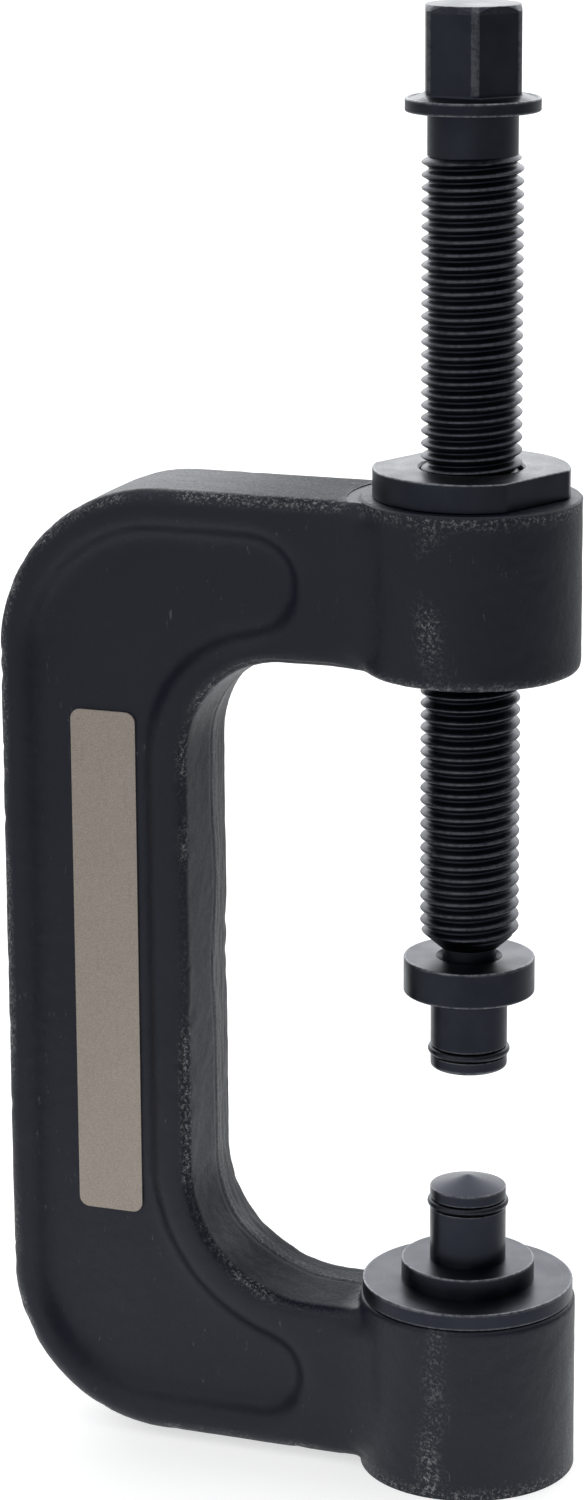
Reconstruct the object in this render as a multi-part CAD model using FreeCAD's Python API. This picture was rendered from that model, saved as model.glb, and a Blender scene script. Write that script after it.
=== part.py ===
"""Ball joint separator: a forged C-frame screw press.

Millimetres, +Z up along the spindle axis, X=0 Y=0 on that axis, Z=0 on the underside of the lower boss.
The spine stands at -X, the throat opens to +X and the name plate faces -Y.
"""
import FreeCAD, Part
import math
import os

V = FreeCAD.Vector
UP = V(0, 0, 1)

# frame
FRAME_HALF_T = 16.0                 # half thickness across Y at the faces
DRAFT = 0.85                        # each outline shrinks by this from the parting plane to the face
SPINE_OUT, SPINE_IN = 116.8, 67.5   # distance of the spine walls from the spindle axis, at the parting plane
ARM_TOP, ARM_UNDER = 244.7, 203.7   # upper arm
ARM_FLOOR, ARM_BOTTOM = 41.6, 2.0   # lower arm
OUTER_R_UP, OUTER_R_LOW = 43.0, 40.0
THROAT_R_UP, THROAT_R_LOW = 25.0, 31.0
EDGE_R = 5.5                        # rounding along the forged face edges
GRIND = 1.4                         # taken off the walls all round when the flash is ground away
FLARE_R = 24.0                      # plan radius where the arms swell into the bosses
FLARE_ROOT = 4.0                    # length of arm that the swelling starts in
FLARE_INSET = 0.05

# recessed web, the same on both faces
WEB_DEPTH = 5.0
WEB_SLOPE = 3.2                     # how far the web walls lean in from face to floor
WEB_OUT, WEB_IN = 110.5, 76.2       # web walls along the spine, at the face
WEB_OUTER_R_UP, WEB_OUTER_R_LOW = 36.0, 32.5
WEB_THROAT_R_UP, WEB_THROAT_R_LOW = 31.0, 41.5
WEB_END_UP = (-51.2, 222.9)         # centre of the round end in the upper arm
WEB_END_LOW = (-49.8, 21.0)
WEB_FLOOR_R, WEB_RIM_R = 3.5, 3.0

# bosses
UPPER_BOSS_R, UPPER_BOSS_Z, UPPER_BOSS_TOP = 26.4, 203.2, 245.2
LOWER_BOSS_R, LOWER_BOSS_TOP = 26.7, 44.2
UPPER_BOSS_EDGE_R, LOWER_BOSS_EDGE_R = 2.0, 4.5
BUSH_BORE_R = 18.0
ANVIL_BORE_R = 10.05
BORE_CHAMFER = 0.8

# spindle thread, M24 x 3, right-hand
PITCH = 3.0
THREAD_R, THREAD_ROOT_R = 11.85, 10.2
ROOT_FLAT = 0.5                     # width of the flat at the bottom of the groove
FLANK = math.tan(math.radians(30))  # half of the 60 degree thread angle
THREAD_Z, THREAD_TOP = 136.0, 325.5
GROOVE_Z, GROOVE_TURNS = 137.6, (21, 21, 20)
CUT_OVER = 0.3                      # how far the groove section stands past the surface it opens on
THREAD_END_R, THREAD_END_Z = 7.4, 138.4   # foot radius and start of the long chamfer above the neck
THREAD_GAP = 0.3                    # radial gap between spindle and bush, crest to root
FLANK_GAP = 0.2                     # axial gap between the flanks

# broken edges of the turned and bored pieces
EDGE_BREAK = 0.5
EDGE_CHAMFER = 0.8
LEAD_IN = 1.0

# spindle
HEX_AF, HEX_Z, HEX_TOP = 22.0, 339.2, 360.0
HEX_CORNER_DEG = -70.0
HEX_BAR_R = 12.2                    # the bar the hexagon is milled from
HEX_CHAMFER = 1.4                   # height of the end chamfer at the corners
COLLAR_R, COLLAR_Z = 15.8, 335.5
SHANK_R = 10.6
NECK_R, NECK_END = 6.5, 118.5
NECK_GROOVE_R, NECK_GROOVE_W = 5.7, 2.0

# thrust ball and the wire ring that keeps the pad on the neck
BALL_R, BALL_Z = 5.0, 114.5
CUP_R = BALL_R + 0.03
KEEPER_Z, KEEPER_R, KEEPER_WIRE_R = 126.0, 6.7, 0.8
KEEPER_GAP = 0.05

# pressure pad
PAD_R, PAD_Z, PAD_TOP = 15.95, 122.8, 131.6
PAD_BORE_R, PAD_BORE_END = 6.57, 110.5
STUD_R = 9.35
PAD_STUD_Z = 103.7
PAD_RING_Z = 108.0

# anvil
FLANGE_R, FLANGE_TOP = 26.0, 48.4
STEP_R, STEP_TOP = 16.4, 53.6
ANVIL_STUD_TOP, TIP_Z = 72.4, 75.2
ANVIL_RING_Z = 68.4
SHANK_LOW_R, SHANK_LOW_Z = 10.0, 7.0
O_RING_Z, O_RING_WIRE_R, O_GROOVE_R, O_GROOVE_W = 26.0, 0.8, 8.4, 2.2

# snap rings on the two studs
RING_WIRE_R, RING_GROOVE_R, RING_GROOVE_W = 0.95, 8.1, 2.5
RING_R = RING_GROOVE_R + RING_WIRE_R
RING_GAP_DEG = 24.0

# bush
BUSH_R, BUSH_Z = 17.95, 204.2
BUSH_FLANGE_R, BUSH_FLANGE_T = 23.4, 7.0
BUSH_AF, BUSH_FLAT_DEG = 41.0, -23.0
BUSH_TOP = UPPER_BOSS_TOP + BUSH_FLANGE_T
MOUTH_GAP, MOUTH_EDGE = 0.15, 0.4       # counterbore past the thread at both mouths, and its chamfer
BUSH_SKIP, BUSH_TURNS = 22, 14      # pitches from the spindle groove's start to the bush's, and its length

# name plate
PLATE_X, PLATE_Z = -90.7, 123.3
PLATE_W, PLATE_H, PLATE_T, PLATE_R = 17.0, 129.4, 0.5, 2.6


def polar(radius, deg, z=0.0):
    """Point at an angle about the spindle axis."""
    a = math.radians(deg)
    return V(radius * math.cos(a), radius * math.sin(a), z)


def arc_xz(cx, cz, r, from_deg, to_deg):
    """Arc in the XZ plane."""
    def at(deg):
        a = math.radians(deg)
        return V(cx + r * math.cos(a), 0, cz + r * math.sin(a))
    return Part.Arc(at(from_deg), at((from_deg + to_deg) / 2), at(to_deg)).toShape()


def joined(arcs):
    """Closed wire through arcs in order, with straight lines between their ends."""
    edges = []
    for i, arc in enumerate(arcs):
        edges.append(arc)
        a = arc.valueAt(arc.LastParameter)
        nxt = arcs[(i + 1) % len(arcs)]
        b = nxt.valueAt(nxt.FirstParameter)
        if a.distanceToPoint(b) > 1e-6:
            edges.append(Part.makeLine(a, b))
    return Part.Wire(edges)


def revolved(profile):
    """Solid of revolution about Z from (radius, z) points listed around a closed outline."""
    wire = Part.makePolygon([V(r, 0, z) for r, z in profile + profile[:1]])
    return Part.Face(wire).revolve(V(0, 0, 0), UP, 360)


def wire_ring(ring_r, wire_r, z, gap_deg=0.0, gap_at=90.0):
    """Round-wire ring about the spindle axis, open by gap_deg."""
    circle = Part.makeCircle(wire_r, V(ring_r, 0, z), V(0, 1, 0))
    ring = Part.Face(Part.Wire([circle])).revolve(V(0, 0, 0), UP, 360 - gap_deg)
    ring.rotate(V(0, 0, 0), UP, gap_at + gap_deg / 2)
    return ring


def frame_outline(inset):
    """C outline, shrunk by inset; the arms run to the spindle axis inside the bosses."""
    out, wall = -SPINE_OUT, -SPINE_IN
    r_up, r_low = THROAT_R_UP + inset, THROAT_R_LOW + inset
    arcs = [
        arc_xz(out + OUTER_R_UP, ARM_TOP - OUTER_R_UP, OUTER_R_UP - inset, 90, 180),
        arc_xz(out + OUTER_R_LOW, ARM_BOTTOM + OUTER_R_LOW, OUTER_R_LOW - inset, 180, 270),
        arc_xz(wall + THROAT_R_LOW, ARM_FLOOR + THROAT_R_LOW, r_low, 270, 180),
        arc_xz(wall + THROAT_R_UP, ARM_UNDER - THROAT_R_UP, r_up, 180, 90),
    ]
    def start(arc):
        return arc.valueAt(arc.FirstParameter)
    def end(arc):
        return arc.valueAt(arc.LastParameter)
    def through(points):
        return [Part.makeLine(a, b) for a, b in zip(points, points[1:])]
    def on_axis(p):
        return V(0, 0, p.z)
    low_a, low_b = end(arcs[1]), start(arcs[2])
    up_a, up_b = end(arcs[3]), start(arcs[0])
    edges = [arcs[0], *through([end(arcs[0]), start(arcs[1])]), arcs[1]]
    edges += through([low_a, on_axis(low_a), on_axis(low_b), low_b])
    edges += [arcs[2], *through([end(arcs[2]), start(arcs[3])]), arcs[3]]
    edges += through([up_a, on_axis(up_a), on_axis(up_b), up_b])
    return Part.Wire(edges)


def web_outline(inset):
    """Outline of the recessed web, shrunk by inset."""
    ux, uz = -WEB_IN + WEB_THROAT_R_UP, ARM_UNDER - THROAT_R_UP
    lx, lz = -WEB_IN + WEB_THROAT_R_LOW, ARM_FLOOR + THROAT_R_LOW
    eux, euz = WEB_END_UP
    elx, elz = WEB_END_LOW
    end_r_up = math.hypot(eux - ux, euz - uz) - WEB_THROAT_R_UP
    end_r_low = math.hypot(elx - lx, elz - lz) - WEB_THROAT_R_LOW
    up_deg = math.degrees(math.atan2(euz - uz, eux - ux))
    low_deg = math.degrees(math.atan2(elz - lz, elx - lx)) % 360
    top, bottom = euz + end_r_up, elz - end_r_low
    return joined([
        arc_xz(eux, euz, end_r_up - inset, up_deg - 180, 90),
        arc_xz(-WEB_OUT + WEB_OUTER_R_UP, top - WEB_OUTER_R_UP, WEB_OUTER_R_UP - inset, 90, 180),
        arc_xz(-WEB_OUT + WEB_OUTER_R_LOW, bottom + WEB_OUTER_R_LOW, WEB_OUTER_R_LOW - inset, 180, 270),
        arc_xz(elx, elz, end_r_low - inset, -90, low_deg - 180),
        arc_xz(lx, lz, WEB_THROAT_R_LOW + inset, low_deg, 180),
        arc_xz(ux, uz, WEB_THROAT_R_UP + inset, 180, up_deg),
    ])


def at_y(wire, y):
    moved = wire.copy()
    moved.translate(V(0, y, 0))
    return moved


def edges_on_plane(shape, y, keep):
    """Edges lying in the plane Y=y that pass the keep test at their middle."""
    picked = []
    for e in shape.Edges:
        ends = [v.Point.y for v in e.Vertexes]
        mid = e.valueAt((e.FirstParameter + e.LastParameter) / 2)
        if all(abs(v - y) < 1e-4 for v in ends + [mid.y]) and keep(mid):
            picked.append(e)
    return picked


def frame_half():
    """The half of the forging from the parting plane to the -Y face, with its web."""
    rough = [frame_outline(-GRIND), at_y(frame_outline(DRAFT - GRIND), -FRAME_HALF_T)]
    body = Part.makeLoft(rough, True, True)
    body = body.makeFillet(EDGE_R, edges_on_plane(body, -FRAME_HALF_T, lambda p: p.x < -0.01))
    body = body.common(Part.Face(frame_outline(0)).extrude(V(0, -FRAME_HALF_T, 0)))
    floor_y = WEB_DEPTH - FRAME_HALF_T
    web = [at_y(web_outline(0), -FRAME_HALF_T), at_y(web_outline(WEB_SLOPE), floor_y)]
    web = Part.makeLoft(web, True, True)
    web = web.makeFillet(WEB_FLOOR_R, edges_on_plane(web, floor_y, lambda p: True))
    body = body.cut(web)
    rim = edges_on_plane(body, -FRAME_HALF_T, lambda p: -WEB_OUT - 0.1 < p.x < -30 and web_rim(p))
    return body.makeFillet(WEB_RIM_R, rim)


def web_rim(p):
    """True on the outline of the web at the face."""
    return web_outline(0).distToShape(Part.Vertex(V(p.x, 0, p.z)))[0] < 1e-3


def boss(r, z, top, edge_r):
    """Forged boss with a rounded lower edge and a faced top."""
    body = Part.makeCylinder(r, top - z, V(0, 0, z))
    body = body.makeFillet(edge_r, [e for e in body.Edges if e.BoundBox.ZMax < z + 0.01])
    return body.makeChamfer(BORE_CHAMFER, [e for e in body.Edges if e.BoundBox.ZMin > top - 0.01])


def arm_flare(boss_r, z, top):
    """Keyhole-shaped end of an arm: the arm's width swelling into the round of the boss."""
    w = FRAME_HALF_T - FLARE_INSET
    reach = boss_r - FLARE_INSET
    cx = -math.sqrt((reach + FLARE_R) ** 2 - (w + FLARE_R) ** 2)
    joint_deg = math.degrees(math.atan2(-w - FLARE_R, cx))
    swell_mid = math.radians((90 + joint_deg + 180) / 2)
    on_boss = polar(reach, joint_deg, z)
    bend = V(cx + FLARE_R * math.cos(swell_mid), -w - FLARE_R + FLARE_R * math.sin(swell_mid), z)
    def mirrored(p):
        return V(p.x, -p.y, p.z)
    root, foot = V(cx - FLARE_ROOT, -w, z), V(cx, -w, z)
    outline = Part.Wire([
        Part.makeLine(root, foot),
        Part.Arc(foot, bend, on_boss).toShape(),
        Part.Arc(on_boss, polar(reach, 0, z), mirrored(on_boss)).toShape(),
        Part.Arc(mirrored(on_boss), mirrored(bend), mirrored(foot)).toShape(),
        Part.makeLine(mirrored(foot), mirrored(root)),
        Part.makeLine(mirrored(root), root),
    ])
    flare = Part.Face(outline).extrude(V(0, 0, top - z))
    rims = [e for e in flare.Edges if e.BoundBox.ZLength < 0.01 and e.BoundBox.XMax > root.x + 0.01]
    return flare.makeFillet(EDGE_R, rims)


def c_frame():
    half = frame_half()
    body = half.fuse(half.mirror(V(0, 0, 0), V(0, 1, 0)))
    upper = boss(UPPER_BOSS_R, UPPER_BOSS_Z, UPPER_BOSS_TOP, UPPER_BOSS_EDGE_R)
    lower = boss(LOWER_BOSS_R, 0, LOWER_BOSS_TOP, LOWER_BOSS_EDGE_R)
    flare_up = arm_flare(UPPER_BOSS_R, ARM_UNDER + DRAFT, ARM_TOP - DRAFT)
    flare_low = arm_flare(LOWER_BOSS_R, ARM_BOTTOM + DRAFT, ARM_FLOOR - DRAFT)
    body = body.fuse([flare_up, flare_low, upper, lower])
    bores = [(BUSH_BORE_R, UPPER_BOSS_Z, UPPER_BOSS_TOP), (ANVIL_BORE_R, 0, LOWER_BOSS_TOP)]
    for r, z, top in bores:
        body = body.cut(Part.makeCylinder(r, top - z + 2, V(0, 0, z - 1)))
        for mouth, way in ((z, 1), (top, -1)):
            body = body.cut(Part.makeCone(r + BORE_CHAMFER, r, BORE_CHAMFER, V(0, 0, mouth), V(0, 0, way)))
    return body


def name_plate():
    """Thin plate on the web floor of the -Y face."""
    plate = Part.makeBox(PLATE_W, PLATE_T, PLATE_H, V(-PLATE_W / 2, -PLATE_T, -PLATE_H / 2))
    plate = plate.makeFillet(PLATE_R, [e for e in plate.Edges if abs(e.BoundBox.YLength - PLATE_T) < 1e-6])
    plate.translate(V(PLATE_X, WEB_DEPTH - FRAME_HALF_T, PLATE_Z))
    return plate


def thread_cutter(flat_r, flat_w, mouth_r, z, turns):
    """V groove swept along the thread helix, flat_w wide at flat_r and opening to mouth_r."""
    helix = Part.makeHelix(PITCH, turns * PITCH, flat_r)
    narrow = flat_w / 2
    wide = narrow + abs(mouth_r - flat_r) * FLANK
    section = Part.makePolygon([V(flat_r, 0, -narrow), V(mouth_r, 0, -wide), V(mouth_r, 0, wide),
                                V(flat_r, 0, narrow), V(flat_r, 0, -narrow)])
    cutter = Part.Wire(helix.Edges).makePipeShell([section], True, True)
    cutter.translate(V(0, 0, z))
    return cutter


def hex_prism(af, z, top):
    """Hexagon milled from a round bar, chamfered at the top down to its flats."""
    corner_r = af / math.sqrt(3)
    wire = Part.makePolygon([polar(corner_r, HEX_CORNER_DEG + 60 * i, z) for i in range(7)])
    prism = Part.Face(wire).extrude(V(0, 0, top - z))
    flat_r = af / 2
    blank = revolved([(0, z), (HEX_BAR_R, z), (HEX_BAR_R, top - HEX_CHAMFER), (flat_r, top), (0, top)])
    return prism.common(blank)


def threaded_bar():
    """Thread with its run-out chamfers; the groove starts and ends inside the bar."""
    lead = THREAD_R - THREAD_ROOT_R
    bar = revolved([(0, THREAD_Z - lead), (THREAD_ROOT_R, THREAD_Z - lead), (THREAD_R, THREAD_Z),
                    (THREAD_R, THREAD_TOP - LEAD_IN), (SHANK_R, THREAD_TOP), (0, THREAD_TOP)])
    z = GROOVE_Z
    cutters = []
    for turns in GROOVE_TURNS:
        cutters.append(thread_cutter(THREAD_ROOT_R, ROOT_FLAT, THREAD_R + CUT_OVER, z, turns))
        z += turns * PITCH
    bar = bar.cut(cutters)
    foot = THREAD_Z - lead
    outside = revolved([(THREAD_END_R, foot), (THREAD_R, THREAD_END_Z), (THREAD_R + 1, THREAD_END_Z),
                        (THREAD_R + 1, foot - 1), (THREAD_END_R, foot - 1)])
    return bar.cut(outside)


def spindle():
    """Hex, collar, shank, thread and neck turned from one bar."""
    shank = revolved([(0, THREAD_TOP), (SHANK_R, THREAD_TOP), (SHANK_R, COLLAR_Z), (0, COLLAR_Z)])
    collar = Part.makeCylinder(COLLAR_R, HEX_Z - COLLAR_Z, V(0, 0, COLLAR_Z))
    collar = collar.makeFillet(EDGE_BREAK, [e for e in collar.Edges if e.Length > COLLAR_R])
    half_w = NECK_GROOVE_W / 2
    neck_top = THREAD_Z - THREAD_R + THREAD_ROOT_R
    neck = revolved([(0, NECK_END), (NECK_R - EDGE_BREAK, NECK_END), (NECK_R, NECK_END + EDGE_BREAK),
                     (NECK_R, KEEPER_Z - half_w), (NECK_GROOVE_R, KEEPER_Z - half_w),
                     (NECK_GROOVE_R, KEEPER_Z + half_w), (NECK_R, KEEPER_Z + half_w),
                     (NECK_R, neck_top), (0, neck_top)])
    neck = neck.cut(Part.makeSphere(CUP_R, V(0, 0, BALL_Z)))
    return threaded_bar().fuse([shank, collar, hex_prism(HEX_AF, HEX_Z, HEX_TOP), neck])


def bush_flange():
    """Round flange with two spanner flats, its edges broken."""
    flange = Part.makeCylinder(BUSH_FLANGE_R, BUSH_FLANGE_T, V(0, 0, UPPER_BOSS_TOP))
    across, along = BUSH_AF / 2, 2 * BUSH_FLANGE_R
    flats = Part.makeBox(2 * across, 2 * along, BUSH_FLANGE_T, V(-across, -along, UPPER_BOSS_TOP))
    flats.rotate(V(0, 0, 0), UP, BUSH_FLAT_DEG)
    flange = flange.common(flats)
    return flange.makeChamfer(EDGE_BREAK, [e for e in flange.Edges if e.BoundBox.ZLength < 0.01])


def spindle_bush():
    """Flanged nut screwed into the upper boss; its bore carries the spindle thread."""
    body = revolved([(0, BUSH_Z), (BUSH_R - LEAD_IN, BUSH_Z), (BUSH_R, BUSH_Z + LEAD_IN),
                     (BUSH_R, UPPER_BOSS_TOP), (0, UPPER_BOSS_TOP)])
    body = bush_flange().fuse(body)
    minor_r = THREAD_ROOT_R + THREAD_GAP
    major_r = THREAD_R + THREAD_GAP
    body = body.cut(Part.makeCylinder(minor_r, BUSH_TOP - BUSH_Z + 2, V(0, 0, BUSH_Z - 1)))
    ridge = ROOT_FLAT + 2 * (major_r - THREAD_ROOT_R) * FLANK - 2 * FLANK_GAP
    start = GROOVE_Z + PITCH * (BUSH_SKIP + 0.5)
    end = start + BUSH_TURNS * PITCH
    body = body.cut(thread_cutter(major_r, PITCH - ridge, minor_r - CUT_OVER, start, BUSH_TURNS))
    mouth_r = major_r + MOUTH_GAP
    low_mouth = start + PITCH / 2 - BUSH_Z
    top_mouth = BUSH_TOP - end + PITCH / 2
    for z, depth, way in ((BUSH_Z, low_mouth, 1), (BUSH_TOP, top_mouth, -1)):
        body = body.cut(Part.makeCylinder(mouth_r, depth, V(0, 0, z), V(0, 0, way)))
        body = body.cut(Part.makeCone(mouth_r + MOUTH_EDGE, mouth_r, MOUTH_EDGE, V(0, 0, z), V(0, 0, way)))
    return body


def ring_groove(z):
    """Corners of a snap ring groove in a stud, from below."""
    half_w = RING_GROOVE_W / 2
    return [(STUD_R, z - half_w), (RING_GROOVE_R, z - half_w), (RING_GROOVE_R, z + half_w),
            (STUD_R, z + half_w)]


def pressure_pad():
    """Stud and flange that turn freely on the neck, over the thrust ball."""
    c = EDGE_BREAK
    pad = revolved([(0, PAD_STUD_Z), (STUD_R - EDGE_CHAMFER, PAD_STUD_Z), (STUD_R, PAD_STUD_Z + EDGE_CHAMFER),
                    *ring_groove(PAD_RING_Z),
                    (STUD_R, PAD_Z), (PAD_R - c, PAD_Z), (PAD_R, PAD_Z + c),
                    (PAD_R, PAD_TOP - c), (PAD_R - c, PAD_TOP), (0, PAD_TOP)])
    half_k = KEEPER_WIRE_R + KEEPER_GAP
    keeper_out = KEEPER_R + KEEPER_WIRE_R + 0.02
    bore = revolved([(0, PAD_BORE_END), (PAD_BORE_R, PAD_BORE_END),
                     (PAD_BORE_R, KEEPER_Z - half_k), (keeper_out, KEEPER_Z - half_k),
                     (keeper_out, KEEPER_Z + half_k), (PAD_BORE_R, KEEPER_Z + half_k),
                     (PAD_BORE_R, PAD_TOP - EDGE_BREAK), (PAD_BORE_R + 1.5, PAD_TOP + 1), (0, PAD_TOP + 1)])
    return pad.cut(bore.fuse(Part.makeSphere(CUP_R, V(0, 0, BALL_Z))))


def anvil():
    """Shank in the lower boss, flange, step and pointed stud, turned in one piece."""
    half_o, c = O_GROOVE_W / 2, EDGE_BREAK
    return revolved([(0, SHANK_LOW_Z), (SHANK_LOW_R - LEAD_IN, SHANK_LOW_Z),
                     (SHANK_LOW_R, SHANK_LOW_Z + LEAD_IN),
                     (SHANK_LOW_R, O_RING_Z - half_o), (O_GROOVE_R, O_RING_Z - half_o),
                     (O_GROOVE_R, O_RING_Z + half_o), (SHANK_LOW_R, O_RING_Z + half_o),
                     (SHANK_LOW_R, LOWER_BOSS_TOP), (FLANGE_R - c, LOWER_BOSS_TOP),
                     (FLANGE_R, LOWER_BOSS_TOP + c), (FLANGE_R, FLANGE_TOP - c),
                     (FLANGE_R - c, FLANGE_TOP), (STEP_R, FLANGE_TOP),
                     (STEP_R, STEP_TOP - c), (STEP_R - c, STEP_TOP), (STUD_R, STEP_TOP),
                     *ring_groove(ANVIL_RING_Z),
                     (STUD_R, ANVIL_STUD_TOP), (0, TIP_Z)])


NODES = {
    "c_frame": c_frame,
    "name_plate": name_plate,
    "spindle_bush": spindle_bush,
    "spindle": spindle,
    "thrust_ball": lambda: Part.makeSphere(BALL_R, V(0, 0, BALL_Z)),
    "pad_retaining_ring": lambda: wire_ring(KEEPER_R, KEEPER_WIRE_R, KEEPER_Z, RING_GAP_DEG),
    "pressure_pad": pressure_pad,
    "pad_snap_ring": lambda: wire_ring(RING_R, RING_WIRE_R, PAD_RING_Z, RING_GAP_DEG),
    "anvil": anvil,
    "anvil_snap_ring": lambda: wire_ring(RING_R, RING_WIRE_R, ANVIL_RING_Z, RING_GAP_DEG),
    "anvil_o_ring": lambda: wire_ring(O_GROOVE_R + O_RING_WIRE_R, O_RING_WIRE_R, O_RING_Z),
}

os.makedirs("parts", exist_ok=True)
for name, build in NODES.items():
    shape = build()
    shape.exportStep("parts/" + name + ".step")
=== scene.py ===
"""Visual model of the ball joint separator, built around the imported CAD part.

Millimetre dimensions become metres through MM. The frame is the part's own: +Z along the spindle,
origin on the spindle axis at the underside of the lower boss, spine at -X, name plate facing -Y.
"""

import math

import bmesh
import bpy
import numpy as np
from mathutils import Matrix, Vector


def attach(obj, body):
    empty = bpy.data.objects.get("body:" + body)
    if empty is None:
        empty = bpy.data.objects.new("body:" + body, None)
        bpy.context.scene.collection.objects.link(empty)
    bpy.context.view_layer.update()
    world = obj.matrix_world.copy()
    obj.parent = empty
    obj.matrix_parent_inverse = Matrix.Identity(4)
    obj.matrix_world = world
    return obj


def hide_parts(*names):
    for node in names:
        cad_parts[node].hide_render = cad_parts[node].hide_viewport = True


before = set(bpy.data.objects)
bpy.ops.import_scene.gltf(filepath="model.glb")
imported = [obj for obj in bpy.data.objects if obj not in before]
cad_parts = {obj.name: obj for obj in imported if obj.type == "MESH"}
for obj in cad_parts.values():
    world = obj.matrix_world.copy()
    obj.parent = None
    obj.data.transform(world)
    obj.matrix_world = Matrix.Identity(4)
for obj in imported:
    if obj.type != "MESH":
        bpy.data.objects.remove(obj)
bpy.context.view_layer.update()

MM = 0.001

# turned parts
PITCH, CREST_R, ROOT_R = 3.0, 11.85, 10.25
THREAD_Z, THREAD_TOP = 136.0, 325.5
HELIX_Z = 137.6                     # height of a groove middle at angle zero
SHANK_R, COLLAR_R, COLLAR_Z, HEX_Z, HEX_TOP = 10.6, 15.8, 335.5, 339.2, 360.0
HEX_AF, HEX_CORNER_DEG = 22.0, -70.0
HEX_CORNER_R, HEX_CHAMFER = 12.2, 1.4      # the bar the hexagon is milled from, and its end chamfer
NECK_R, NECK_GROOVE_R, NECK_END = 6.5, 5.7, 118.5
THREAD_END_R, THREAD_END_Z = 7.4, 138.4    # foot and start of the long chamfer above the neck
BALL_R, BALL_Z, KEEPER_Z = 5.03, 114.5, 126.0
PAD_R, PAD_Z, PAD_TOP, PAD_STUD_Z, PAD_RING_Z = 15.95, 122.8, 131.6, 103.7, 108.0
PAD_BORE_R, PAD_BORE_END = 6.57, 110.5
STUD_R, RING_GROOVE_R, RING_GROOVE_W = 9.35, 8.1, 2.5
FLANGE_R, FLANGE_TOP, STEP_R, STEP_TOP = 26.0, 48.4, 16.4, 53.6
ANVIL_STUD_TOP, TIP_Z, ANVIL_RING_Z = 72.4, 75.2, 68.4
SHANK_LOW_R, SHANK_LOW_Z, O_RING_Z, O_GROOVE_R, O_GROOVE_W = 10.0, 7.0, 26.0, 8.4, 2.2
BUSH_R, BUSH_Z, BUSH_TOP, BUSH_MOUTH_R = 17.95, 204.2, 252.2, 12.3
BUSH_FLANGE_R, BUSH_AF, BUSH_FLAT_DEG = 23.4, 41.0, -23.0

# forging
SPINE_OUT, SPINE_IN = 116.8, 67.5
ARM_TOP, ARM_UNDER, ARM_FLOOR, ARM_BOTTOM = 244.7, 203.7, 41.6, 2.0
OUTER_R, THROAT_R = (40.0, 43.0), (31.0, 25.0)      # corner radii, lower and upper
UPPER_BOSS = {"r": 26.4, "low": 203.2, "top": 245.2, "bore": 18.0}
LOWER_BOSS = {"r": 26.7, "low": 0.0, "top": 44.2, "bore": 10.05}
PARTING_Y, PARTING_WANDER = 1.5, 0.7    # parting line of the dies, and how far it strays
FRONT_DEPTH, REAR_DEPTH = 15.0, 12.5    # from the parting line to the faces
THROAT_LEAN, REAR_LEAN = 0.5, 1.3   # draft of the throat wall, and how much more behind
FACED_R = 28                        # a machined boss face ends inside this radius
SOFTEN_ROUNDS, POCKET_ROUNDS = 10, 60
SCUFF_DEG, SCUFF_WIDTH = 92, 7.0    # upright scuffed band on the bosses, and its half width
DINGS = 170
VOXEL = 0.6                         # grid of the remeshed forging
SEGMENTS = 144

# sky, as (from, to, strength at from, strength at to) of a direction's share
SKY_BEHIND = (0.25, 1.0, 0.05, 1.0)         # from the camera's side to behind the object
SKY_RISE = (0.0, 0.20, 0.50, 3.05)          # from the horizon upwards
SKY_FRONT = (0.45, 1.0, 0.0, 0.75)          # low behind the camera, to its left
SKY_ABOVE = (0.3, 0.95, 0.0, 0.6)           # straight overhead
WAY_BEHIND, WAY_FRONT = (-0.35, 0.937, 0.0), (-0.36, -0.90, 0.24)

# floor in mm, with a painted glow in metres: a strip running back from the object where the floor itself emits
# light
FLOOR_HALF, FLOOR_DROP = 9000.0, 0.02
FLOOR_GLOW, GLOW_HEADING, GLOW_LEFT = 0.62, 20.49, 0.05
GLOW_HALF, GLOW_SPREAD, GLOW_FADE = 0.07, 0.07, 0.25

# camera: place in metres, (heading, pitch, roll) in degrees, focal length for a frame 36 mm high
CAMERA_PLACE = (0.30366, -0.93456, 0.4416)
CAMERA_TURN = (20.49, -14.74, -0.361)
LENS, FRAME_HEIGHT = 101.65, 36.0


# ---------------------------------------------------------------- mesh helpers

def add_object(name, mesh, sharp_deg=32.0):
    """Smooth-shaded object with its sharp edges marked by angle."""
    obj = bpy.data.objects.new(name, mesh)
    bpy.context.scene.collection.objects.link(obj)
    mesh.shade_smooth()
    mesh.set_sharp_from_angle(angle=math.radians(sharp_deg))
    return obj


def mesh_from(name, verts_mm, faces):
    """Mesh in metres from vertices in millimetres."""
    mesh = bpy.data.meshes.new(name)
    mesh.from_pydata([tuple(v) for v in np.asarray(verts_mm) * MM], [], faces)
    mesh.update()
    return mesh


def rounded(points, steps=4, guard=0.3):
    """(r, z) outline with each (r, z, radius) corner turned into a short arc; returns (r, z, wear) rows.
    The wear on each arc is bare metal and a painted highlight along the edge; a row without wear stands guard
    beside each arc, so that the wear stays on the edge."""
    rows = []
    for i, p in enumerate(points):
        if len(p) == 2:
            rows.append((*p, 0.0))
            continue
        here = Vector(p[:2])
        before = (Vector(points[i - 1][:2]) - here).normalized()
        after = (Vector(points[(i + 1) % len(points)][:2]) - here).normalized()
        half = before.angle(after) / 2
        reach = p[2] / math.tan(half)
        a, b = here + before * reach, here + after * reach
        centre = here + (before + after).normalized() * (p[2] / math.sin(half))
        rows.append((*(a + before * guard), 0.0))
        for k in range(steps + 1):
            t = k / steps
            spot = centre + (a.lerp(b, t) - centre).normalized() * p[2]
            rows.append((*spot, math.sin(math.pi * (0.15 + 0.7 * t))))
        rows.append((*(b + after * guard), 0.0))
    return rows


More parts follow.
